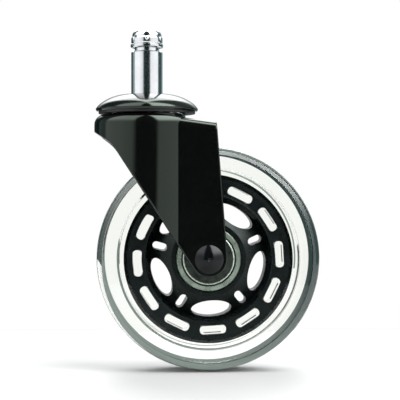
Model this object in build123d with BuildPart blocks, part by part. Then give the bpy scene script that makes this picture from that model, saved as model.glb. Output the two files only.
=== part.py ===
from build123d import *
import os
from math import asin, atan2, cos, hypot, sin, sqrt

# Swivel caster for an office chair: a grip-ring stem, a stamped fork on two rings of loose balls,
# and a clear tyre on a moulded core that runs on two 608 ball bearings.
# Millimetres, +Z up. The origin is on the swivel axis, on the land of the swivel cap that the
# chair's socket rests on. The wheel trails along +X and its axle lies along Y.
# Left is the -Y side and right is the +Y side.

# ---------------------------------------------------------------- driving dimensions
# Stem, above the seat plane
stem_diameter = 10.8
stem_length = 22.2
stem_neck_diameter = 8.4       # under the grip ring
stem_head_length = 2.2
stem_head_setback = 0.35       # head radius under the stem radius
stem_head_round = 2.1
stem_edge = 0.4
grip_zone = 7.4                # from the tip down to the full stem diameter
grip_ring_height = 3.9
grip_ring_wall = 0.6
grip_ring_play = 0.1           # to the stem's head
grip_ring_slit = 1.0
grip_ring_taper = 0.6
grip_bulge = 0.2               # flared lower lip, outside the stem's radius
grip_edge = 0.3
crimp_rise = 1.5               # from the ring's foot
crimp_width = 0.35
crimp_depth = 0.2
dimple_count = 6
dimple_radius = 1.0
dimple_proud = 0.2
dimple_drop = 0.95             # below the ring's top

# King pin, below the seat plane
king_diameter = 9.8
king_tail_diameter = 8.4
king_play = 0.4                # between the pin and the fork's hole
press_play = 0.02              # pieces that are pressed or riveted together
rivet_head_radius = 6.2
rivet_head_height = 2.0
rivet_head_rim = 0.4
king_washer_radius = 7.0
king_washer_thickness = 1.0

# Wheel
wheel_diameter = 76.2
wheel_offset = 20.8            # swivel axis to axle
wheel_top_drop = 18.1          # seat plane down to the top of the wheel
wheel_phase = -86.4            # angle of the first window in the wheel's face
tyre_width = 22.0
tyre_thickness = 9.4           # tread down to the core
tyre_ledge = 1.6               # flat ring beside the core before the side steps out
tyre_step = 0.7
tyre_corner = 2.3
tyre_crown = 0.35

# Core
rim_inset = 2.0                # rim faces, in from the tyre's sides
rim_depth = 7.3                # core's outside down to the rim's inner lip
rim_edge = 1.0
hub_wall = 1.6
hub_edge = 0.35
web_inset = 6.2                # foot of the dished web, in from the tyre's sides
rim_draft = 1.3                # slope of the rim's inner wall
window_count = 5
window_length = 13.7
window_margin = 1.5            # web left between a window and the hub or the rim
window_edge = 0.3
slot_length = 5.0
slot_width = 2.6
lock_count = 12
lock_land = 1.25               # rim lip out to the lock's inner edge
lock_height = 3.1
lock_length = 9.0
lock_corner = 1.1
lock_neck_width = 6.0
lock_neck_depth = 5.0

# 608 ball bearings
bearing_bore = 8.0
bearing_diameter = 22.0
bearing_width = 7.0
bearing_shoulder = 1.4         # the core's stop between the outer rings
bearing_edge = 0.3
race_wall = 1.47               # ring left behind a ball groove
inner_groove_depth = 0.58
outer_groove_depth = 0.23
race_ball_count = 7
ball_play = 0.05               # all round each ball
cage_wall = 1.6
cage_half_width = 2.6
shield_recess = 0.25
shield_thickness = 0.35
shield_play = 0.15
shield_bead = 0.5
shield_bead_rise = 0.15
shield_edge = 0.1

# Axle
axle_play = 0.03
axle_hole_play = 0.06
axle_head_radius = 4.8
axle_head_height = 2.3
axle_head_rim = 0.5
axle_dimple_radius = 0.9
axle_dimple_depth = 0.5
washer_step = 0.05             # axle washer's radius under the inner rings'
spacer_step = 0.2              # spacer's radius under the inner rings'

# Fork
sheet = 2.5
side_gap = 1.3                 # tyre's side to the arm
neck_bulge = 3.3               # neck radius outside the arms' faces
crown_drop = 7.0               # seat plane to the fork's top
shoulder_inner_round = 1.0     # inside the bend between the crown and the neck
boss_radius = 13.3             # flat raceway boss on the crown
boss_wall = 1.6                # boss radius outside its recess underneath
roof_start = 1.0               # where the roof begins to fall
roof_end = 23.4                # the fork's rear top corner
roof_fall = 2.95
roof_inner_round = 0.5         # inside the bend between the roof and the arms
fork_edge = 0.5                # rounding along the sheet's outer edges
lip_drop = 6.0                 # front lip, below the fork's top
arm_start = 11.7               # where the lip turns down into the arm's front edge
arm_start_drop = 10.5
arm_start_round = 12.0
arm_end_radius = 6.2

# Swivel bearing
upper_ball_radius = 2.0
upper_ball_count = 16
upper_pitch_radius = 10.5
lower_ball_radius = 1.5875
lower_ball_count = 14
lower_pitch_radius = 7.6
upper_race_gap = 1.6           # fork's top to the upper race
lower_race_gap = 1.0           # fork's underside to the lower race
upper_race_radius = 13.2
upper_race_thickness = 2.2
lower_race_radius = 10.2
lower_race_thickness = 2.5
race_edge = 0.6

# Swivel cap and its seal
cap_setback = 0.5              # cap radius inside the neck radius
cap_land_radius = 6.4
cap_height = 5.9
cap_waist_drop = 5.0           # down to the cap's widest ring
cap_dome_drop = 2.9            # land down to the shoulder
cap_shoulder_setback = 2.0     # shoulder radius inside the cap radius
cap_wall = 1.2
cap_rim_tuck = 0.4
seal_setback = 1.0             # seal radius inside the cap radius
seal_thickness = 0.7
seal_lift = 0.35               # running gap over the fork
seal_wall = 1.0
seal_height = 1.6
seal_play = 0.1

# ---------------------------------------------------------------- places that follow
stem_radius = stem_diameter / 2
king_radius = king_diameter / 2
tail_radius = king_tail_diameter / 2
wheel_radius = wheel_diameter / 2
tyre_half = tyre_width / 2
axle_z = -(wheel_top_drop + wheel_radius)

arm_inside = tyre_half + side_gap
arm_outside = arm_inside + sheet
neck_radius = arm_outside + neck_bulge
crown_z = -crown_drop
under_crown_z = crown_z - sheet

core_radius = wheel_radius - tyre_thickness
rim_half = tyre_half - rim_inset
rim_lip_radius = core_radius - rim_depth
seat_radius = bearing_diameter / 2
hub_radius = seat_radius + hub_wall
web_radius = rim_lip_radius - rim_draft
bearing_centre = tyre_half - bearing_width / 2
race_pitch_radius = (seat_radius + bearing_bore / 2) / 2
race_groove = (seat_radius - bearing_bore / 2) / 2 - race_wall
race_ball_radius = race_groove - ball_play
inner_ring_radius = race_pitch_radius - race_groove + inner_groove_depth
outer_ring_inside = race_pitch_radius + race_groove - outer_groove_depth

upper_ball_z = crown_z + upper_race_gap / 2
upper_race_z = crown_z + upper_race_gap
lower_ball_z = under_crown_z - lower_race_gap / 2
lower_race_z = under_crown_z - lower_race_gap
lower_race_end = lower_race_z - lower_race_thickness
rivet_z = lower_race_end - king_washer_thickness
rivet_tip = rivet_z - rivet_head_height

cap_radius = neck_radius - cap_setback
seal_z = crown_z + seal_lift

axle_point = (wheel_offset, 0, axle_z)
axle_axis = Axis(axle_point, (0, 1, 0))
wheel_front = Plane(origin=axle_point, x_dir=(1, 0, 0), z_dir=(0, -1, 0))   # local x, y are X, Z
wheel_section = Plane(origin=axle_point, x_dir=(1, 0, 0), z_dir=(0, 0, 1))  # radius and Y
sides = {"left": -1, "right": 1}
past = 2 * arm_end_radius      # how far the shapes that cut run past the piece they cut
touching = 0.001               # an edge nearer than this to a line is on it

os.makedirs("parts", exist_ok=True)


def save(builder, name):
    """Labels a finished piece and writes it as one STEP file."""
    builder.part.label = name
    export_step(builder.part, f"parts/{name}.step")


def section_at(side):
    """The plane of radius and Y through the middle of one bearing."""
    origin = (wheel_offset, side * bearing_centre, axle_z)
    return Plane(origin=origin, x_dir=(1, 0, 0), z_dir=(0, 0, 1))


def washer(name, inner, outer, near, far):
    """A plain ring on the axle, between two places along Y."""
    with BuildPart() as ring:
        with BuildSketch(wheel_section):
            with Locations(((inner + outer) / 2, (near + far) / 2)):
                Rectangle(outer - inner, abs(far - near))
        revolve(axis=axle_axis)
    save(ring, name)


def ball_ring(name, radius, count, pitch, height):
    """A full ring of loose balls round the swivel axis, as separate solids."""
    with BuildPart() as balls:
        with Locations((0, 0, height)):
            with PolarLocations(pitch, count):
                Sphere(radius)
    save(balls, name)


# ---------------------------------------------------------------- stem and grip ring
# One turned steel pin: the stem that plugs into the chair, and the king pin that is riveted
# over under the lower race.
neck_z = stem_length - grip_zone
head_z = stem_length - stem_head_length
head_radius = stem_radius - stem_head_setback
neck_r = stem_neck_diameter / 2

with BuildPart() as stem:
    with BuildSketch(Plane.XZ):
        with BuildLine():
            Polyline(
                (0, stem_length),
                (head_radius, stem_length),
                (head_radius, head_z),
                (neck_r, head_z),
                (neck_r, neck_z),
                (stem_radius - stem_edge, neck_z),
                (stem_radius, neck_z - stem_edge),
                (stem_radius, 0),
                (king_radius, 0),
                (king_radius, lower_race_z),
                (tail_radius, lower_race_z),
                (tail_radius, rivet_z),
                (rivet_head_radius, rivet_z),
            )
            Line((rivet_head_radius, rivet_z), (rivet_head_radius, rivet_z - rivet_head_rim))
            TangentArc((0, rivet_tip), (rivet_head_radius, rivet_z - rivet_head_rim), tangent=(1, 0))
            Line((0, rivet_tip), (0, stem_length))
        make_face()
    revolve(axis=Axis.Z)
    fillet(stem.edges().group_by(Axis.Z)[-1], stem_head_round)
save(stem, "stem")

# A split spring-steel sleeve: a flared lower lip, a crimp above it, and a ring of dimples.
ring_top = head_z - grip_ring_play
ring_foot = ring_top - grip_ring_height
ring_inside = stem_radius - grip_ring_wall
lip_radius = stem_radius + grip_bulge
crimp_z = ring_foot + crimp_rise
dimple_z = ring_top - dimple_drop
dimple_centre = stem_radius + dimple_proud - dimple_radius

with BuildPart() as grip_ring:
    with BuildSketch(Plane.XZ):
        with BuildLine():
            Polyline(
                (ring_inside, ring_foot),
                (lip_radius - grip_edge, ring_foot),
                (lip_radius, ring_foot + grip_edge),
                (lip_radius, crimp_z - crimp_width),
                (stem_radius - crimp_depth, crimp_z),
                (stem_radius, crimp_z + crimp_width),
                (stem_radius, ring_top - grip_ring_taper),
                (head_radius, ring_top),
                (ring_inside, ring_top),
                close=True,
            )
        make_face()
    revolve(axis=Axis.Z)
    with Locations((0, 0, dimple_z)):
        with PolarLocations(dimple_centre, dimple_count, start_angle=-90):
            Sphere(dimple_radius)
    with Locations((0, 0, (ring_top + ring_foot) / 2)):
        Cylinder(ring_inside, 2 * grip_ring_height, mode=Mode.SUBTRACT)
    with Locations((stem_radius, 0, (ring_top + ring_foot) / 2)):
        Box(stem_radius, grip_ring_slit, 2 * grip_ring_height, mode=Mode.SUBTRACT)
save(grip_ring, "grip_ring")

# ---------------------------------------------------------------- swivel cap, seal and races
cap_hole = king_radius + press_play
cap_inside = cap_radius - cap_wall
dome_reach = cap_radius - cap_shoulder_setback - cap_land_radius
dome_radius = (dome_reach**2 + cap_dome_drop**2) / (2 * cap_dome_drop)
dome_angle = asin(dome_reach / dome_radius)


def dome_line(inset):
    """Half the cap's section, in from its outside: a shallow dome and a round shoulder."""
    curve = dome_radius - inset
    shoulder = (cap_land_radius + curve * sin(dome_angle), curve * cos(dome_angle) - dome_radius)
    TangentArc((cap_land_radius, -inset), shoulder, tangent=(1, 0))
    rim = (cap_radius - inset, -cap_waist_drop)
    TangentArc(shoulder, rim, tangent=(cos(dome_angle), -sin(dome_angle)))


# Domed steel cover, clamped under the stem's shoulder. Its flat land is the seat.
with BuildPart() as swivel_cap:
    rim_foot = (cap_radius - cap_rim_tuck, -cap_height)
    with BuildSketch(Plane.XZ):
        with BuildLine():
            Line((cap_hole, 0), (cap_land_radius, 0))
            dome_line(0)
            TangentArc((cap_radius, -cap_waist_drop), rim_foot, tangent=(0, -1))
            Line(rim_foot, (cap_inside, -cap_height))
            Line((cap_inside, -cap_height), (cap_inside, -cap_waist_drop))
            dome_line(cap_wall)
            Line((cap_land_radius, -cap_wall), (cap_hole, -cap_wall))
            Line((cap_hole, -cap_wall), (cap_hole, 0))
        make_face()
    revolve(axis=Axis.Z)
save(swivel_cap, "swivel_cap")

# Plastic dust seal: a flat ring that closes the gap over the fork, with an upstand in the cap.
with BuildPart() as dust_seal:
    seal_radius = cap_radius - seal_setback
    upstand_radius = cap_inside - seal_play
    with BuildSketch(Plane.XZ):
        with BuildLine():
            Polyline(
                (upper_race_radius + seal_play, seal_z),
                (seal_radius, seal_z),
                (seal_radius, seal_z + seal_thickness),
                (upstand_radius, seal_z + seal_thickness),
                (upstand_radius, seal_z + seal_height),
                (upstand_radius - seal_wall, seal_z + seal_height),
                (upstand_radius - seal_wall, seal_z + seal_thickness),
                (upper_race_radius + seal_play, seal_z + seal_thickness),
                close=True,
            )
        make_face()
    revolve(axis=Axis.Z)
save(dust_seal, "dust_seal")

# Upper race: a hardened ring on a hub that stacks against the underside of the cap.
with BuildPart() as upper_race:
    hub_foot = upper_race_z + upper_race_thickness
    with BuildSketch(Plane.XZ):
        with BuildLine():
            Polyline(
                (king_radius + press_play, -cap_wall),
                (cap_land_radius, -cap_wall),
                (cap_land_radius, hub_foot),
                (upper_race_radius - race_edge, hub_foot),
                (upper_race_radius, hub_foot - race_edge),
                (upper_race_radius, upper_race_z),
                (king_radius + press_play, upper_race_z),
                close=True,
            )
        make_face()
        with Locations((upper_pitch_radius, upper_ball_z)):
            Circle(upper_ball_radius + ball_play, mode=Mode.SUBTRACT)
    revolve(axis=Axis.Z)
save(upper_race, "upper_race")

# Lower race: a hardened washer with a ball track, held up against the king pin's shoulder.
with BuildPart() as lower_race:
    with BuildSketch(Plane.XZ):
        with BuildLine():
            Polyline(
                (tail_radius + press_play, lower_race_z),
                (lower_race_radius, lower_race_z),
                (lower_race_radius, lower_race_end + race_edge),
                (lower_race_radius - race_edge, lower_race_end),
                (tail_radius + press_play, lower_race_end),
                close=True,
            )
        make_face()
        with Locations((lower_pitch_radius, lower_ball_z)):
            Circle(lower_ball_radius + ball_play, mode=Mode.SUBTRACT)
    revolve(axis=Axis.Z)
save(lower_race, "lower_race")

with BuildPart() as king_washer:
    with BuildSketch(Plane.XY.offset(rivet_z)):
        Circle(king_washer_radius)
        Circle(tail_radius + press_play, mode=Mode.SUBTRACT)
    extrude(amount=king_washer_thickness)
save(king_washer, "king_washer")

ball_ring("upper_balls", upper_ball_radius, upper_ball_count, upper_pitch_radius, upper_ball_z)
ball_ring("lower_balls", lower_ball_radius, lower_ball_count, lower_pitch_radius, lower_ball_z)


# ---------------------------------------------------------------- fork
def roof_line(top):
    """The falling roof's two ends in X and Z, for a crown at a given height."""
    rear = roof_end + past
    return (roof_start, top), (rear, top - roof_fall * (rear - roof_start) / (roof_end - roof_start))


def neck_solid(radius, top, shoulder, foot):
    """A round cup about the swivel axis with a rounded shoulder, cut off behind by the roof."""
    with BuildPart() as cup:
        with BuildSketch(Plane.XZ):
            with BuildLine():
                Line((0, foot), (0, top))
                Line((0, top), (radius - shoulder, top))
                RadiusArc((radius - shoulder, top), (radius, top - shoulder), shoulder)
                Line((radius, top - shoulder), (radius, foot))
                Line((radius, foot), (0, foot))
            make_face()
        revolve(axis=Axis.Z)
        with BuildSketch(Plane.XZ):
            with BuildLine():
                fold, rear = roof_line(top)
                Polyline(fold, rear, (rear[0], top + past), (fold[0], top + past), close=True)
            make_face()
        extrude(amount=2 * radius, both=True, mode=Mode.SUBTRACT)
    return cup.part


def arm_solid(half_width, top, edge_round, foot):
    """The block behind the neck that the two arms are the sides of, under its falling roof."""
    fold, rear = roof_line(top)
    with BuildPart() as block:
        with BuildSketch(Plane.XZ):
            with BuildLine():
                Polyline((fold[0], foot), fold, rear, (rear[0], foot), close=True)
            make_face()
        extrude(amount=half_width, both=True)
        side_edges = block.faces().filter_by(Axis.Y).edges()
        fillet(side_edges.filter_by(lambda edge: edge.center().Z > rear[1]), edge_round)
    return block.part


def tangent_point(start, centre, radius, turn):
    """Where the line from start touches a circle, on the side that turn (+1 or -1) chooses."""
    across, up = centre[0] - start[0], centre[1] - start[1]
    reach = hypot(across, up)
    heading = atan2(up, across) + turn * asin(radius / reach)
    length = sqrt(reach**2 - radius**2)
    return (start[0] + length * cos(heading), start[1] + length * sin(heading))


def on_outline(edge):
    """True for an edge where the fork's side outline cut it."""
    middle = edge.center()
    return side_outline.sketch.wire().distance_to(Vertex(middle.X, 0, middle.Z)) < touching


foot_z = axle_z - past
shoulder_round = shoulder_inner_round + sheet
roof_round = roof_inner_round + sheet
outer_neck = neck_solid(neck_radius, crown_z, shoulder_round, foot_z)
outer_arms = arm_solid(arm_outside, crown_z, roof_round, foot_z)
inner_neck = neck_solid(neck_radius - sheet, under_crown_z, shoulder_inner_round, foot_z - past)
inner_arms = arm_solid(arm_inside, under_crown_z, roof_inner_round, foot_z - past)
from_top = (Align.CENTER, Align.CENTER, Align.MAX)

axle_centre = (wheel_offset, axle_z)
lip_z = crown_z - lip_drop
arm_corner = (-arm_start, crown_z - arm_start_drop)
lip_slope = (arm_corner[1] - lip_z) / (neck_radius - arm_start)
front_corner = (-neck_radius - past, lip_z - past * lip_slope)
front_point = tangent_point(arm_corner, axle_centre, arm_end_radius, -1)
rear_corner = (roof_end, crown_z - roof_fall)
rear_point = tangent_point(rear_corner, axle_centre, arm_end_radius, 1)
end_point = (wheel_offset, axle_z - arm_end_radius)

# One deep-drawn steel stamping: round neck, sloping roof and two flat arms.
with BuildPart() as fork:
    add(outer_neck)
    add(outer_arms)
    with Locations((0, 0, crown_z)):
        Cylinder(boss_radius, 2 * sheet, align=from_top)
    with BuildSketch(Plane.XZ) as side_outline:
        with BuildLine():
            Line((front_corner[0], 0), front_corner)
            Line(front_corner, arm_corner)
            Line(arm_corner, front_point)
            ThreePointArc(front_point, end_point, rear_point)
            Line(rear_point, rear_corner)
            Line(rear_corner, (roof_end, 0))
            Line((roof_end, 0), (front_corner[0], 0))
        make_face()
        corner = side_outline.vertices().sort_by_distance(arm_corner)[0]
        fillet(corner, arm_start_round)
    extrude(amount=2 * neck_radius, both=True, mode=Mode.INTERSECT)
    cut_edges = fork.edges().filter_by(on_outline)
    roof_end_edge = cut_edges.filter_by(Axis.Y).sort_by(Axis.Z)[-1]
    fillet(cut_edges.filter_by(Axis.Y, reverse=True) + [roof_end_edge], fork_edge)
    add(inner_neck, mode=Mode.SUBTRACT)
    add(inner_arms, mode=Mode.SUBTRACT)
    with Locations((0, 0, under_crown_z)):
        Cylinder(boss_radius - boss_wall, 2 * sheet, align=from_top, mode=Mode.SUBTRACT)
    with BuildSketch(Plane.XY):
        Circle(king_radius + king_play)
    extrude(amount=-2 * crown_drop, mode=Mode.SUBTRACT)
    with BuildSketch(Plane.XZ):
        with Locations((upper_pitch_radius, upper_ball_z)):
            Circle(upper_ball_radius + ball_play)
        with Locations((lower_pitch_radius, lower_ball_z)):
            Circle(lower_ball_radius + ball_play)
    revolve(axis=Axis.Z, mode=Mode.SUBTRACT)
    with BuildSketch(wheel_front):
        Circle(bearing_bore / 2 + axle_hole_play)
    extrude(amount=2 * neck_radius, both=True, mode=Mode.SUBTRACT)
save(fork, "fork")

# ---------------------------------------------------------------- axle, spacer and washers
# A rivet with a domed head on each arm, the far one formed when the fork is closed.
with BuildPart() as axle:
    shank = bearing_bore / 2 - axle_play
    head_foot = arm_outside
    rim_y = head_foot + axle_head_rim
    dome_y = head_foot + axle_head_height
    with BuildSketch(wheel_section):
        with BuildLine():
            Line((0, 0), (shank, 0))
            Line((shank, 0), (shank, head_foot))
            Line((shank, head_foot), (axle_head_radius, head_foot))
            Line((axle_head_radius, head_foot), (axle_head_radius, rim_y))
            TangentArc((0, dome_y), (axle_head_radius, rim_y), tangent=(1, 0))
            Line((0, dome_y), (0, 0))
        make_face()
    revolve(axis=axle_axis)
    with Locations((wheel_offset, dome_y - axle_dimple_depth + axle_dimple_radius, axle_z)):
        Sphere(axle_dimple_radius, mode=Mode.SUBTRACT)
    mirror(about=Plane.XZ)
save(axle, "axle")

spacer_half = tyre_half - bearing_width
washer(
    "bearing_spacer",
    bearing_bore / 2 + axle_play,
    inner_ring_radius - spacer_step,
    -spacer_half,
    spacer_half,
)
for side_name, side in sides.items():
    washer(
        f"{side_name}_axle_washer",
        bearing_bore / 2 + axle_hole_play,
        inner_ring_radius - washer_step,
        side * tyre_half,
        side * arm_inside,
    )

# ---------------------------------------------------------------- bearings
for side_name, side in sides.items():
    half = bearing_width / 2
    section = section_at(side)
    middle = (wheel_offset, side * bearing_centre, axle_z)

    with BuildPart() as outer_ring:
        with BuildSketch(section) as outline:
            with Locations(((outer_ring_inside + seat_radius) / 2, 0)):
                Rectangle(seat_radius - outer_ring_inside, bearing_width)
            chamfer(outline.vertices().group_by(Axis.X)[-1], bearing_edge)
            with Locations((race_pitch_radius, 0)):
                Circle(race_groove, mode=Mode.SUBTRACT)
        revolve(axis=axle_axis)
    save(outer_ring, f"{side_name}_outer_ring")

    with BuildPart() as inner_ring:
        with BuildSketch(section) as outline:
            with Locations(((bearing_bore / 2 + inner_ring_radius) / 2, 0)):
                Rectangle(inner_ring_radius - bearing_bore / 2, bearing_width)
            chamfer(outline.vertices().group_by(Axis.X)[0], bearing_edge)
            with Locations((race_pitch_radius, 0)):
                Circle(race_groove, mode=Mode.SUBTRACT)
        revolve(axis=axle_axis)
    save(inner_ring, f"{side_name}_inner_ring")

    with BuildPart() as cage:
        with BuildSketch(section):
            with Locations((race_pitch_radius, 0)):
                Rectangle(cage_wall, 2 * cage_half_width)
        revolve(axis=axle_axis)
        with Locations(Plane(origin=middle, x_dir=(1, 0, 0), z_dir=(0, -1, 0))):
            with PolarLocations(race_pitch_radius, race_ball_count):
                Cylinder(race_groove, 2 * cage_wall, rotation=(0, 90, 0), mode=Mode.SUBTRACT)
    save(cage, f"{side_name}_cage")

    with BuildPart() as balls:
        with Locations(Plane(origin=middle, x_dir=(1, 0, 0), z_dir=(0, -1, 0))):
            with PolarLocations(race_pitch_radius, race_ball_count):
                Sphere(race_ball_radius)
    save(balls, f"{side_name}_balls")

    # Pressed shields, one on each face, with a rolled bead crimped into the outer ring.
    for face_name, face in {"outer": side, "inner": -side}.items():
        with BuildPart() as shield:
            out = half - shield_recess
            back = out - shield_thickness
            rim = outer_ring_inside - shield_play / 2
            eye = inner_ring_radius + shield_play
            with BuildSketch(section):
                with BuildLine():
                    Polyline(
                        (eye, face * back),
                        (rim, face * back),
                        (rim, face * out),
                        (rim - shield_bead / 2, face * (out + shield_bead_rise)),
                        (rim - shield_bead, face * out),
                        (eye + shield_edge, face * out),
                        (eye, face * (out - shield_edge)),
                        close=True,
                    )
                make_face()
            revolve(axis=axle_axis)
        save(shield, f"{side_name}_{face_name}_shield")


# ---------------------------------------------------------------- core and tyre
def lock_shapes():
    """The blocks of tyre that fill the rim's slots, with the necks that join them to the tread."""
    inner = rim_lip_radius + lock_land
    outer = inner + lock_height
    neck_inside = (inner + outer) / 2
    neck_outside = core_radius + tyre_ledge
    with BuildPart() as locks:
        with BuildSketch(mode=Mode.PRIVATE) as one_slot:
            Circle(outer)
            Circle(inner, mode=Mode.SUBTRACT)
            with Locations((outer, 0)):
                Rectangle(outer, lock_length, mode=Mode.INTERSECT)
            fillet(one_slot.vertices(), lock_corner)
        with BuildSketch(wheel_front):
            with PolarLocations(0, lock_count, start_angle=wheel_phase):
                add(one_slot.sketch)
        extrude(amount=rim_half, both=True)
        with BuildSketch(wheel_front):
            with PolarLocations((neck_inside + neck_outside) / 2, lock_count, start_angle=wheel_phase):
                Rectangle(neck_outside - neck_inside, lock_neck_width)
        extrude(amount=lock_neck_depth / 2, both=True)
    return locks.part


locks = lock_shapes()

# Moulded nylon core: bearing seats, a dished web with windows, and a slotted rim.
with BuildPart() as core:
    shoulder_half = tyre_half - bearing_width
    web_y = tyre_half - web_inset
    for face in sides.values():
        with BuildSketch(wheel_section):
            with BuildLine():
                Polyline(
                    (seat_radius - bearing_shoulder, 0),
                    (seat_radius - bearing_shoulder, face * shoulder_half),
                    (seat_radius, face * shoulder_half),
                    (seat_radius, face * (tyre_half - hub_edge)),
                    (seat_radius + hub_edge, face * tyre_half),
                    (hub_radius, face * tyre_half),
                    (web_radius, face * web_y),
                    (rim_lip_radius, face * rim_half),
                    (core_radius - rim_edge, face * rim_half),
                    (core_radius, face * (rim_half - rim_edge / 2)),
                    (core_radius, 0),
                    close=True,
                )
            make_face()
        revolve(axis=axle_axis)
    window_radius = (hub_radius + rim_lip_radius) / 2
    window_half = (rim_lip_radius - hub_radius) / 2 - window_margin
    with BuildSketch(wheel_front):
        with PolarLocations(window_radius, window_count, start_angle=wheel_phase):
            Ellipse(window_half, window_length / 2)
        with PolarLocations(window_radius, window_count, start_angle=wheel_phase + 180 / window_count):
            SlotOverall(slot_length, slot_width)
    extrude(amount=wheel_radius, both=True, mode=Mode.SUBTRACT)
    webs = core.faces().filter_by(GeomType.CONE).sort_by(lambda face: len(face.edges()))[-2:]
    holes = webs.edges().filter_by(GeomType.CIRCLE, reverse=True)
    fillet(holes.filter_by(GeomType.LINE, reverse=True), window_edge)
    add(locks, mode=Mode.SUBTRACT)
save(core, "core")

# Clear cast tyre: flat sides with a stepped ledge beside the core, round corners, slight crown.
with BuildPart() as tyre:
    ledge_radius = core_radius + tyre_ledge
    corner_radius = wheel_radius - tyre_crown
    with BuildSketch(wheel_section):
        with BuildLine():
            for face in sides.values():
                Polyline(
                    (core_radius, 0),
                    (core_radius, face * (rim_half - rim_edge / 2)),
                    (core_radius - rim_edge, face * rim_half),
                    (ledge_radius, face * rim_half),
                    (ledge_radius + tyre_step, face * tyre_half),
                    (corner_radius - tyre_corner, face * tyre_half),
                )
                RadiusArc(
                    (corner_radius - tyre_corner, face * tyre_half),
                    (corner_radius, face * (tyre_half - tyre_corner)),
                    face * tyre_corner,
                )
            ThreePointArc(
                (corner_radius, tyre_corner - tyre_half),
                (wheel_radius, 0),
                (corner_radius, tyre_half - tyre_corner),
            )
        make_face()
    revolve(axis=axle_axis)
    add(locks)
save(tyre, "tyre")
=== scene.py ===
from math import cos, pi, radians, sin, sqrt

import bmesh
import bpy
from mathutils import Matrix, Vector


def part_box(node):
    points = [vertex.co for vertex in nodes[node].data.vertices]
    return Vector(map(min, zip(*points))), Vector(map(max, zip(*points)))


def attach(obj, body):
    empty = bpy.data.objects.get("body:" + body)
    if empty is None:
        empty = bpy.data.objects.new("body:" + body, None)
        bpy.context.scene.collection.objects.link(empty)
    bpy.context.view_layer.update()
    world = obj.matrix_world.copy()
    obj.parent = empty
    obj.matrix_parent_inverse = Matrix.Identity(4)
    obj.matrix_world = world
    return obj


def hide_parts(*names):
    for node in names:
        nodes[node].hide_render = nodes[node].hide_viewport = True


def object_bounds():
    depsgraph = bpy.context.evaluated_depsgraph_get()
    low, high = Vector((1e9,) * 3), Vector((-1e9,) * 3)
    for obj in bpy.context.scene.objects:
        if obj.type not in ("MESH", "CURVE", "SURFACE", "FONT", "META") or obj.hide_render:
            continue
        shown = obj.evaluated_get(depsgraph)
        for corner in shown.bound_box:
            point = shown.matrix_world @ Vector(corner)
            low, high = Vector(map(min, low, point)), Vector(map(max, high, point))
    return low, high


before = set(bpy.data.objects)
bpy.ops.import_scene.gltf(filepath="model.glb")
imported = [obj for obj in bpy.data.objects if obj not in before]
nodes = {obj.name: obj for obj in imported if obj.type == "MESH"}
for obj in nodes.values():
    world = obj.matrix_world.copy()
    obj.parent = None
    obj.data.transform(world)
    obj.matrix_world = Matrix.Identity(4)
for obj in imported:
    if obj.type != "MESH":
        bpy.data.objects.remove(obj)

cad_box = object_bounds()
mm = 0.001

# ---------------------------------------------------------------- stem and king pin
# A turned steel pin, chromed and polished. Its upper end plugs into the chair's leg, and its
# lower end is the king pin, riveted over under the lower race.
def finish(name, colour, metallic, roughness):
    """A new material with its principled shader set, and a small kit for wiring detail into it."""
    material = bpy.data.materials.new(name)
    material.use_nodes = True
    tree = material.node_tree
    shader = tree.nodes["Principled BSDF"]
    shader.inputs["Base Color"].default_value = (*colour, 1)
    shader.inputs["Metallic"].default_value = metallic
    shader.inputs["Roughness"].default_value = roughness
    return material, tree, shader


def place(tree, stretch=(1, 1, 1)):
    """The object's own coordinates, stretched along each axis."""
    coordinates = tree.nodes.new("ShaderNodeTexCoord")
    mapping = tree.nodes.new("ShaderNodeMapping")
    mapping.inputs["Scale"].default_value = stretch
    tree.links.new(coordinates.outputs["Object"], mapping.inputs["Vector"])
    return mapping.outputs["Vector"]


def noise(tree, where, scale, detail=3.0, rough=0.5):
    """Noise at a scale given in cycles per metre."""
    texture = tree.nodes.new("ShaderNodeTexNoise")
    texture.inputs["Scale"].default_value = scale
    texture.inputs["Detail"].default_value = detail
    texture.inputs["Roughness"].default_value = rough
    tree.links.new(where, texture.inputs["Vector"])
    return texture.outputs["Fac"]


def spread(tree, value, low, high, start=0.3, end=0.7):
    """Maps a noise value onto the range from low to high."""
    ranged = tree.nodes.new("ShaderNodeMapRange")
    ranged.inputs["From Min"].default_value = start
    ranged.inputs["From Max"].default_value = end
    ranged.inputs["To Min"].default_value = low
    ranged.inputs["To Max"].default_value = high
    tree.links.new(value, ranged.inputs["Value"])
    return ranged.outputs["Result"]


def tint(tree, value, dark, light, start=0.3, end=0.7):
    """A colour that runs from dark to light with a noise value."""
    ramp = tree.nodes.new("ShaderNodeValToRGB")
    ramp.color_ramp.elements[0].position = start
    ramp.color_ramp.elements[0].color = (*dark, 1)
    ramp.color_ramp.elements[1].position = end
    ramp.color_ramp.elements[1].color = (*light, 1)
    tree.links.new(value, ramp.inputs["Fac"])
    return ramp.outputs["Color"]


def relief(tree, height, depth, strength=1.0):
    """A bump of a given depth in metres."""
    bump = tree.nodes.new("ShaderNodeBump")
    bump.inputs["Strength"].default_value = strength
    bump.inputs["Distance"].default_value = depth
    tree.links.new(height, bump.inputs["Height"])
    return bump.outputs["Normal"]


def wear(node, material):
    """Puts a material on a CAD node in place of its own."""
    slots = nodes[node].data.materials
    for index in range(len(slots)):
        slots[index] = material
    if not slots:
        slots.append(material)


chrome, tree, shader = finish("polished_chrome", (0.82, 0.84, 0.87), 1.0, 0.07)
turning = noise(tree, place(tree, (1, 1, 60)), 90, 4)
cloud = noise(tree, place(tree), 180, 4)
shine = tint(tree, cloud, (0.74, 0.76, 0.79), (0.86, 0.88, 0.90))
tree.links.new(shine, shader.inputs["Base Color"])
tree.links.new(spread(tree, turning, 0.1, 0.2), shader.inputs["Roughness"])
tree.links.new(relief(tree, turning, 0.000004, 0.5), shader.inputs["Normal"])
wear("stem", chrome)

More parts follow.
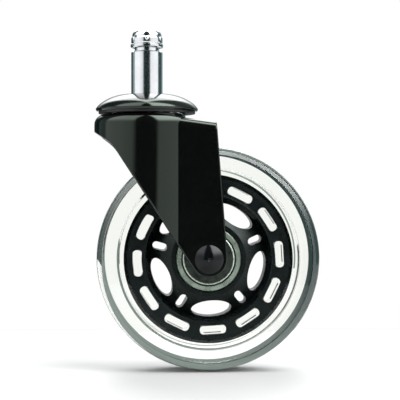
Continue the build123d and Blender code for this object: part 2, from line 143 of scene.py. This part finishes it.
# ---------------------------------------------------------------- grip ring
# A split sleeve of spring steel, plated, with a ring of pressed dimples. It springs outward in
# the chair's socket and holds the stem there.
spring, tree, shader = finish("plated_spring_steel", (0.78, 0.80, 0.83), 1.0, 0.12)
rub = noise(tree, place(tree, (1, 1, 30)), 140, 5)
plating = tint(tree, rub, (0.66, 0.68, 0.71), (0.84, 0.86, 0.88))
tree.links.new(plating, shader.inputs["Base Color"])
tree.links.new(spread(tree, rub, 0.08, 0.2), shader.inputs["Roughness"])
tree.links.new(relief(tree, rub, 0.000006, 0.5), shader.inputs["Normal"])
wear("grip_ring", spring)

# ---------------------------------------------------------------- swivel cap
# A domed steel cover, stamped from sheet and painted gloss black. It is clamped under the stem's
# shoulder and keeps dust and hair out of the swivel's balls.
def gloss_black(name, smooth, dull, depth):
    """Black stoving paint: deep gloss with a slight orange peel and a little dust in it."""
    material, tree, shader = finish(name, (0.002, 0.002, 0.002), 0.0, 0.09)
    where = place(tree)
    dust = noise(tree, where, 2600, 2)
    tree.links.new(
        tint(tree, dust, (0.001, 0.001, 0.001), (0.004, 0.004, 0.004)), shader.inputs["Base Color"]
    )
    haze = noise(tree, where, 130, 4)
    tree.links.new(spread(tree, haze, smooth, dull), shader.inputs["Roughness"])
    peel = noise(tree, where, 420, 2)
    tree.links.new(relief(tree, peel, depth, 0.25), shader.inputs["Normal"])
    shader.inputs["Specular Tint"].default_value = (0.82, 1.0, 0.86, 1)
    return material


cap_paint = gloss_black("cap_gloss_paint", 0.1, 0.16, 0.00001)
wear("swivel_cap", cap_paint)

# ---------------------------------------------------------------- dust seal
# A ring of black plastic, moulded and left matt. It is snapped into the cap, over the running
# gap between the cap and the fork.
seal_plastic, tree, shader = finish("seal_plastic", (0.012, 0.012, 0.012), 0.0, 0.45)
pores = noise(tree, place(tree), 1500, 4)
matt = tint(tree, pores, (0.008, 0.008, 0.008), (0.02, 0.02, 0.02))
tree.links.new(matt, shader.inputs["Base Color"])
tree.links.new(spread(tree, pores, 0.35, 0.55), shader.inputs["Roughness"])
tree.links.new(relief(tree, pores, 0.00002, 0.4), shader.inputs["Normal"])
wear("dust_seal", seal_plastic)

# ---------------------------------------------------------------- swivel races and washer
# Hardened steel rings, ground in the ball tracks and left oiled. The riveted end of the king
# pin clamps them above and below the fork's crown.
hardened, tree, shader = finish("hardened_steel", (0.42, 0.43, 0.44), 1.0, 0.3)
grind = noise(tree, place(tree, (1, 1, 25)), 160, 5)
steel = tint(tree, grind, (0.28, 0.29, 0.30), (0.5, 0.51, 0.52))
tree.links.new(steel, shader.inputs["Base Color"])
tree.links.new(spread(tree, grind, 0.22, 0.4), shader.inputs["Roughness"])
tree.links.new(relief(tree, grind, 0.00001, 0.5), shader.inputs["Normal"])
for node in ("upper_race", "lower_race", "king_washer"):
    wear(node, hardened)

# ---------------------------------------------------------------- loose balls and caged balls
# Hardened balls, lapped to a mirror finish and wetted with grease. Those of the swivel run
# loose between its races, and those of the wheel sit in cages.
lapped, tree, shader = finish("lapped_ball_steel", (0.75, 0.76, 0.78), 1.0, 0.08)
smear = noise(tree, place(tree), 700, 3)
tree.links.new(tint(tree, smear, (0.55, 0.54, 0.5), (0.8, 0.81, 0.83)), shader.inputs["Base Color"])
tree.links.new(spread(tree, smear, 0.05, 0.2), shader.inputs["Roughness"])
for node in ("upper_balls", "lower_balls", "left_balls", "right_balls"):
    wear(node, lapped)

# ---------------------------------------------------------------- fork
# One deep-drawn stamping of sheet steel, painted gloss black like the cap. Its crown turns on
# the swivel's balls, and its two arms carry the axle.
fork_paint = gloss_black("fork_gloss_paint", 0.06, 0.13, 0.000012)
wear("fork", fork_paint)

# ---------------------------------------------------------------- axle
# A steel rivet, blackened and oiled, closed with a domed head on each arm. It clamps the
# bearings' inner rings, their washers and the spacer.
blackened, tree, shader = finish("blackened_rivet_steel", (0.004, 0.004, 0.005), 0.0, 0.2)
oil = noise(tree, place(tree), 600, 5)
blacking = tint(tree, oil, (0.001, 0.0015, 0.002), (0.004, 0.005, 0.006))
tree.links.new(blacking, shader.inputs["Base Color"])
tree.links.new(spread(tree, oil, 0.08, 0.18), shader.inputs["Roughness"])
shader.inputs["Specular IOR Level"].default_value = 0.25
tree.links.new(relief(tree, oil, 0.00003, 0.35), shader.inputs["Normal"])
wear("axle", blackened)

# ---------------------------------------------------------------- washers and spacer
# Turned from steel tube and zinc plated. The axle's rivet clamps them with the inner rings
# between the fork's arms.
zinc, tree, shader = finish("zinc_plated_steel", (0.6, 0.61, 0.62), 1.0, 0.3)
spangle = noise(tree, place(tree), 900, 4)
crystals = tint(tree, spangle, (0.45, 0.46, 0.47), (0.68, 0.69, 0.7))
tree.links.new(crystals, shader.inputs["Base Color"])
tree.links.new(spread(tree, spangle, 0.24, 0.42), shader.inputs["Roughness"])
for node in ("bearing_spacer", "left_axle_washer", "right_axle_washer"):
    wear(node, zinc)

# ---------------------------------------------------------------- bearing rings and cages
# Rings of ground bearing steel, with a faint green oil film, and cages of plated sheet. The
# outer rings are pressed into the core, and the inner rings stand still on the axle.
ground, tree, shader = finish("ground_bearing_steel", (0.45, 0.5, 0.45), 1.0, 0.25)
lap = noise(tree, place(tree, (1, 20, 1)), 240, 5)
tree.links.new(tint(tree, lap, (0.3, 0.36, 0.3), (0.46, 0.55, 0.46)), shader.inputs["Base Color"])
tree.links.new(spread(tree, lap, 0.2, 0.38), shader.inputs["Roughness"])
tree.links.new(relief(tree, lap, 0.000006, 0.5), shader.inputs["Normal"])
for side in ("left", "right"):
    wear(f"{side}_outer_ring", ground)
    wear(f"{side}_inner_ring", ground)
    wear(f"{side}_cage", zinc)

# ---------------------------------------------------------------- bearing shields
# Thin pressed discs that close the bearings. Each has a raised, rolled bead near its rim, and
# its edge is crimped down into a groove in the outer ring.
tyre_low, tyre_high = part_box("tyre")
axle_at = (tyre_low + tyre_high) / 2
lathe_steps = 192
crease = radians(32)        # edges bent more sharply than this stay crisp


def wheel_point(radius, across, angle):
    """A point on the wheel, from its radius, its place along the axle and its angle."""
    return axle_at + Vector((radius * cos(angle), across, radius * sin(angle)))


def turned(section, steps=lathe_steps, second=()):
    """A ring turned about the axle from a closed section of radius and place along the axle.

    The strips of it that second names, by their number in the section, take its second material."""
    mesh = bmesh.new()
    rings = []
    for step in range(steps):
        angle = 2 * pi * step / steps
        rings.append([
            mesh.verts.new(wheel_point(radius, across, angle)) for radius, across in section
        ])
    for step in range(steps):
        here, after = rings[step], rings[(step + 1) % steps]
        for strip in range(len(section)):
            beyond = (strip + 1) % len(section)
            face = mesh.faces.new((here[strip], here[beyond], after[beyond], after[strip]))
            face.material_index = 1 if strip in second else 0
    bmesh.ops.recalc_face_normals(mesh, faces=mesh.faces)
    return mesh


def new_piece(name, mesh, material):
    """A finished object from a mesh, with its sharp edges marked and the rest smooth."""
    data = bpy.data.meshes.new(name)
    mesh.to_mesh(data)
    mesh.free()
    data.materials.append(material)
    data.shade_smooth()
    data.set_sharp_from_angle(angle=crease)
    piece = bpy.data.objects.new(name, data)
    bpy.context.scene.collection.objects.link(piece)
    return piece


pressed, tree, shader = finish("pressed_shield_steel", (0.1, 0.11, 0.1), 1.0, 0.3)
stain = noise(tree, place(tree, (1, 30, 1)), 500, 4)
dull_steel = tint(tree, stain, (0.034, 0.042, 0.037), (0.075, 0.088, 0.077))
tree.links.new(dull_steel, shader.inputs["Base Color"])
tree.links.new(spread(tree, stain, 0.22, 0.4), shader.inputs["Roughness"])
tree.links.new(relief(tree, stain, 0.000004, 0.4), shader.inputs["Normal"])
# The bead's steel is painted much brighter than the plate. This is a painted highlight that stands
# in for the light caught along the rolled bead.
bead_highlight_steel, tree, shader = finish("bead_painted_highlight_steel", (0.5, 0.55, 0.5), 1.0, 0.3)
rolled = noise(tree, place(tree), 1200, 4)
bead_highlight_colour = tint(tree, rolled, (0.56, 0.64, 0.56), (0.82, 0.9, 0.82))
tree.links.new(bead_highlight_colour, shader.inputs["Base Color"])
tree.links.new(spread(tree, rolled, 0.22, 0.4), shader.inputs["Roughness"])
eye_radius = 6.2 * mm
eye_edge = 0.12 * mm        # how far the eye's edge is broken
bead_radius = 8.45 * mm
bead_half = 0.25 * mm
bead_rise = 0.15 * mm
bead_steps = 6
plate_gauge = 0.35 * mm
crimp_drop = 0.2 * mm
crimp_edge = 0.25 * mm
crimp_start = 0.4 * mm
bead_strips = range(5, 11)  # the strips of the section over the bead, which take its painted highlight
facing_out = 2 * mm         # the outer shields lie more than this beyond the balls' left edge
for side in ("left", "right"):
    for face in ("outer", "inner"):
        node = f"{side}_{face}_shield"
        low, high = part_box(node)
        rim = (high.x - low.x) / 2
        balls_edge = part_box(f"{side}_balls")[0].y
        outward = 1 if (low.y + high.y) / 2 > balls_edge + facing_out else -1
        top = (high.y if outward > 0 else low.y) - axle_at.y
        plate = top - outward * bead_rise
        back = plate - outward * plate_gauge
        crimp = plate - outward * crimp_drop
        section = [(eye_radius, back), (rim, back), (rim, crimp)]
        section += [(rim - crimp_edge, crimp), (rim - crimp_start, plate)]
        for step in range(bead_steps + 1):
            turn = pi * step / bead_steps
            section.append((
                bead_radius + bead_half * cos(turn),
                plate + outward * bead_rise * sin(turn),
            ))
        section += [(eye_radius + eye_edge, plate), (eye_radius, plate - outward * eye_edge)]
        shield = new_piece(f"pressed_{node}", turned(section, second=bead_strips), pressed)
        shield.data.materials.append(bead_highlight_steel)
        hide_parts(node)
        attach(shield, "wheel")

# ---------------------------------------------------------------- core
# The wheel's centre, moulded in black nylon, with a dished web and a slotted rim. The bearings
# are pressed into its hub, and the tyre is cast round it.
nylon, tree, shader = finish("black_nylon", (0.004, 0.005, 0.005), 0.0, 0.3)
flow = noise(tree, place(tree), 260, 5)
texture = noise(tree, place(tree), 2200, 3)
black = tint(tree, flow, (0.002, 0.003, 0.003), (0.005, 0.007, 0.007))
tree.links.new(black, shader.inputs["Base Color"])
tree.links.new(spread(tree, flow, 0.2, 0.34), shader.inputs["Roughness"])
shader.inputs["Specular IOR Level"].default_value = 0.2
shader.inputs["Specular Tint"].default_value = (0.8, 1.0, 0.95, 1)
tree.links.new(relief(tree, texture, 0.000015, 0.4), shader.inputs["Normal"])
wear("core", nylon)

# ---------------------------------------------------------------- rim ridges
# Fine moulded rings on both faces of the core's rim, and a rounded bead on its inner lip. They
# are moulded in one with the core.
core_low, core_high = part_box("core")
core_radius = (core_high.x - core_low.x) / 2
rim_half = 9.0 * mm
# Each ridge's radius and height in millimetres.
ridges = ((21.62, 0.16), (22.15, 0.07), (26.35, 0.07), (26.9, 0.09), (27.4, 0.07))
ridge_spread = 1.6          # half a ridge's width, as a share of its height
ridge_steps = 8
ridge_root = 0.05 * mm      # how deep each ridge is rooted in the rim
for side, outward in (("left", -1), ("right", 1)):
    mesh = bmesh.new()
    for ridge_radius, ridge_height in ridges:
        section = []
        for step in range(ridge_steps + 1):
            turn = pi * step / ridge_steps
            section.append((
                ridge_radius * mm + ridge_spread * ridge_height * mm * cos(turn),
                outward * (rim_half + ridge_height * mm * sin(turn)),
            ))
        for way in (-1, 1):
            section.append((
                (ridge_radius + way * ridge_spread * ridge_height) * mm,
                outward * (rim_half - ridge_root),
            ))
        ring = turned(section)
        data = bpy.data.meshes.new("ridge")
        ring.to_mesh(data)
        ring.free()
        mesh.from_mesh(data)
        bpy.data.meshes.remove(data)
    ridge_piece = new_piece(f"{side}_rim_ridges", mesh, nylon)
    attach(ridge_piece, "wheel")

# ---------------------------------------------------------------- tyre
# One casting of clear polyurethane round the core. Its blocks fill the slots in the core's rim,
# and short necks through the rim join them to the tread and lock the tyre on.
tread_radius = (tyre_high.x - tyre_low.x) / 2
tyre_half = (tyre_high.y - tyre_low.y) / 2
bond = 0.05 * mm            # how far the casting is sunk in the core, as if it had wetted it
rim_edge = 1.0 * mm
ledge_width = 1.6 * mm
step_slope = 0.7 * mm
crown_rise = 0.35 * mm
ledge_radius = core_radius + ledge_width
step_radius = ledge_radius + step_slope
corner_radius = tread_radius - crown_rise
corner_round = 2.3 * mm
corner_steps = 12
corner_start = radians(34)  # how steeply the trimmed corner leaves the flat side
corner_end = radians(56)    # and how steeply it meets the tread
crown_steps = 10
lock_count = 12
lock_inner = 22.65 * mm
lock_outer = 25.75 * mm
lock_half = 4.5 * mm
lock_corner = 1.1 * mm
lock_corner_steps = 6
lock_gap = 0.06 * mm        # a sliver of air that makes each block pipe the light behind it
lock_neck_half = 3.0 * mm
lock_neck_depth = 2.5 * mm
lock_neck_corner = 0.3 * mm
lathe_steps_tyre = 288
first_lock = radians(-86.4)


def tyre_section():
    """Half the casting's section, from the middle of its bore round to the middle of its tread."""
    inner = core_radius - bond
    line = [
        (inner, 0),
        (inner, rim_half - rim_edge / 2),
        (inner - rim_edge, rim_half - bond),
        (inner - rim_edge, rim_half),
        (ledge_radius, rim_half),
        (step_radius, tyre_half),
    ]
    corner_bow = corner_round / (sin(corner_end) - sin(corner_start))
    for step in range(corner_steps + 1):
        turn = corner_start + (corner_end - corner_start) * step / corner_steps
        line.append((
            corner_radius - corner_round + corner_bow * (sin(turn) - sin(corner_start)),
            tyre_half - corner_bow * (cos(corner_start) - cos(turn)),
        ))
    crown_half = tyre_half - corner_round
    crown_height = tread_radius - corner_radius
    crown = (crown_half**2 + crown_height**2) / (2 * crown_height)
    for step in range(1, crown_steps + 1):
        across = crown_half * (1 - step / crown_steps)
        line.append((tread_radius - crown + sqrt(crown**2 - across**2), across))
    return line


def rounded_block(mesh, low, high, half_length, corner, depth, angle):
    """A block between two radii, rounded at its corners, lying across the wheel at an angle.

    Its outer half follows the wheel's curve."""
    outline = []
    for sign_r, sign_t, start in ((1, 1, 0), (-1, 1, 90), (-1, -1, 180), (1, -1, 270)):
        middle = (high - corner if sign_r > 0 else low + corner, sign_t * (half_length - corner))
        for step in range(lock_corner_steps + 1):
            turn = radians(start + 90 / lock_corner_steps * step)
            outline.append((middle[0] + corner * cos(turn), middle[1] + corner * sin(turn)))
    faces = []
    for across in (-depth, depth):
        ring = []
        for radial, along in outline:
            reach = sqrt(radial**2 - along**2) if radial > (low + high) / 2 else radial
            x = reach * cos(angle) - along * sin(angle)
            z = reach * sin(angle) + along * cos(angle)
            ring.append(mesh.verts.new(axle_at + Vector((x, across, z))))
        faces.append(ring)
    count = len(outline)
    mesh.faces.new(faces[0])
    mesh.faces.new(list(reversed(faces[1])))
    for here in range(count):
        beyond = (here + 1) % count
        mesh.faces.new((faces[0][here], faces[1][here], faces[1][beyond], faces[0][beyond]))


clear, tree, shader = finish("clear_polyurethane", (0.95, 0.975, 0.955), 0.0, 0.03)
shader.inputs["Transmission Weight"].default_value = 1.0
shader.inputs["IOR"].default_value = 1.5
haze = noise(tree, place(tree), 90, 4)
water = tint(tree, haze, (0.935, 0.955, 0.915), (0.965, 0.98, 0.945))
tree.links.new(water, shader.inputs["Base Color"])
tree.links.new(spread(tree, haze, 0.0, 0.04), shader.inputs["Roughness"])
ripple = noise(tree, place(tree), 160, 2)
tree.links.new(relief(tree, ripple, 0.00002, 0.3), shader.inputs["Normal"])

half = tyre_section()
section = half + [(radius, -across) for radius, across in reversed(half[1:])]
tyre = new_piece("clear_tyre", turned(section, lathe_steps_tyre), clear)
blocks = bmesh.new()
for lock in range(lock_count):
    angle = first_lock + 2 * pi * lock / lock_count
    rounded_block(
        blocks,
        lock_inner + lock_gap,
        lock_outer - lock_gap,
        lock_half - lock_gap,
        lock_corner,
        rim_half,
        angle,
    )
bmesh.ops.recalc_face_normals(blocks, faces=blocks.faces)
necks = bmesh.new()
for lock in range(lock_count):
    angle = first_lock + 2 * pi * lock / lock_count
    rounded_block(
        necks,
        (lock_inner + lock_outer) / 2,
        (core_radius + ledge_radius) / 2,
        lock_neck_half - lock_gap,
        lock_neck_corner,
        lock_neck_depth - lock_gap,
        angle,
    )
bmesh.ops.recalc_face_normals(necks, faces=necks.faces)
for name, mesh in (("lock_blocks", blocks), ("lock_necks", necks)):
    tool = new_piece(name, mesh, clear)
    union = tyre.modifiers.new(name, "BOOLEAN")
    union.operation = "UNION"
    union.solver = "EXACT"
    union.object = tool
    bpy.context.view_layer.update()
    depsgraph = bpy.context.evaluated_depsgraph_get()
    joined = bpy.data.meshes.new_from_object(tyre.evaluated_get(depsgraph))
    tyre.modifiers.clear()
    tyre.data = joined
    bpy.data.objects.remove(tool)
tyre.data.shade_smooth()
tyre.data.set_sharp_from_angle(angle=crease)
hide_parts("tyre")
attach(tyre, "wheel")

# ---------------------------------------------------------------- floor, lights and camera
# A pale floor in a white studio, with soft boxes left, right and above and a darker side in
# front. The camera looks at the caster from the side.
floor_mesh = bpy.data.meshes.new("floor")
floor_gap = 0.3 * mm
floor_z = cad_box[0][2] - floor_gap
floor_corners = ((-0.45, -0.5), (0.45, -0.5), (0.45, 0.14), (-0.45, 0.14))
floor_mesh.from_pydata([(x, y, floor_z) for x, y in floor_corners], [], [(0, 1, 2, 3)])
floor = bpy.data.objects.new("floor", floor_mesh)
bpy.context.scene.collection.objects.link(floor)
floor_paint, tree, shader = finish("pale_floor", (0.42, 0.42, 0.42), 0.0, 0.6)
floor_mesh.materials.append(floor_paint)

world = bpy.data.worlds.new("studio")
bpy.context.scene.world = world
world.use_nodes = True
tree = world.node_tree
background = tree.nodes["Background"]
background.inputs["Strength"].default_value = 1.0


def reckon(operation, *inputs, clamp=False):
    """A Math node over numbers or other nodes' outputs."""
    node = tree.nodes.new("ShaderNodeMath")
    node.operation = operation
    node.use_clamp = clamp
    for socket, value in zip(node.inputs, inputs):
        if isinstance(value, (int, float)):
            socket.default_value = value
        else:
            tree.links.new(value, socket)
    return node.outputs[0]


# What the object mirrors, by bearing from the front: first near the horizon, then overhead.
# Soft boxes stand left and right, a slot between them is left for the camera, and the far
# corners of the room are dark.
walls = (
    (-180, 0.06), (-130, 0.04), (-126, 0.30), (-104, 0.34), (-98, 1.1), (-60, 1.15), (-32, 0.9),
    (-22, 0.018), (20, 0.018), (27, 1.0), (60, 1.1), (88, 1.1), (93, 0.08), (130, 0.08),
    (136, 0.3), (178, 0.3), (180, 0.06),
)
overhead = (
    (-180, 7), (-160, 7), (-150, 0.1), (-110, 0.1), (-100, 3), (-32, 3), (-24, 0.018),
    (20, 0.018), (27, 8), (95, 8), (102, 0.3), (150, 0.3), (160, 7), (180, 7),
)
direction = tree.nodes.new("ShaderNodeTexCoord").outputs["Generated"]
parts = tree.nodes.new("ShaderNodeSeparateXYZ")
tree.links.new(direction, parts.inputs[0])
bearing = reckon("ARCTAN2", parts.outputs["X"], reckon("MULTIPLY", parts.outputs["Y"], -1.0))
place_on_ramp = reckon("MULTIPLY_ADD", bearing, 0.5 / pi, 0.5)


def round_about(levels):
    """A colour for each bearing, a little blue-green where it is dark."""
    ramp = tree.nodes.new("ShaderNodeValToRGB")
    stops = ramp.color_ramp.elements
    while len(stops) > 1:
        stops.remove(stops[-1])
    for index, (degrees, level) in enumerate(levels):
        spot = (degrees + 180) / 360
        stop = stops[0] if index == 0 else stops.new(spot)
        stop.position = spot
        stop.color = (min(level, level**1.25), level, level, 1)
    tree.links.new(place_on_ramp, ramp.inputs["Fac"])
    return ramp.outputs["Color"]


def rise(value, start, end):
    """0 up to start, 1 from end on."""
    node = tree.nodes.new("ShaderNodeMapRange")
    node.interpolation_type = "SMOOTHSTEP"
    node.inputs["From Min"].default_value = start
    node.inputs["From Max"].default_value = end
    tree.links.new(value, node.inputs["Value"])
    return node.outputs["Result"]


def blend(first, second, amount):
    """Mixes two colours."""
    node = tree.nodes.new("ShaderNodeMix")
    node.data_type = "RGBA"
    for socket, value in ((node.inputs[6], first), (node.inputs[7], second)):
        if isinstance(value, tuple):
            socket.default_value = value
        else:
            tree.links.new(value, socket)
    tree.links.new(amount, node.inputs[0])
    return node.outputs[2]


# The shiny parts mirror a white sheet behind the object, besides the soft boxes. Light that has
# come through the clear tyre sees white sheets behind and in front, and a dimmer blue-green room
# beyond their edges, which gives the tyre its dark outline. The camera sees plain white.
ray = tree.nodes.new("ShaderNodeLightPath")
sheet = rise(parts.outputs["Y"], cos(radians(11)), cos(radians(7)))
high = rise(parts.outputs["Z"], sin(radians(12)), sin(radians(45)))
sheets = rise(reckon("ABSOLUTE", parts.outputs["Y"]), cos(radians(12.5)), cos(radians(8.5)))
white = (1, 1, 1, 1)
across_room = rise(reckon("ADD", parts.outputs["X"], parts.outputs["Z"]), -0.4, 0.4)
dim_room = blend((0.04, 0.065, 0.065, 1), (0.23, 0.28, 0.26, 1), across_room)
studio = blend(round_about(walls), round_about(overhead), high)
studio = blend(studio, white, sheet)
studio = blend(studio, blend(dim_room, white, sheets), ray.outputs["Is Transmission Ray"])
studio = blend(studio, white, ray.outputs["Is Camera Ray"])
tree.links.new(studio, background.inputs["Color"])

middle = Vector((18.3, 0, -36.3)) * mm
eye = Vector((-1.0, -480, -36.3)) * mm
sensor_width = 36
seen_width = 138.0 * mm     # how much of the plane through the axle's middle the picture spans
camera_data = bpy.data.cameras.new("camera")
camera_data.sensor_width = sensor_width
camera_data.lens = sensor_width * (middle - eye).length / seen_width
camera_data.clip_start = 0.01
camera = bpy.data.objects.new("camera", camera_data)
bpy.context.scene.collection.objects.link(camera)
camera.location = eye
camera.rotation_euler = (middle - eye).to_track_quat("-Z", "Y").to_euler()
bpy.context.scene.camera = camera
bpy.context.scene.view_settings.view_transform = "Standard"
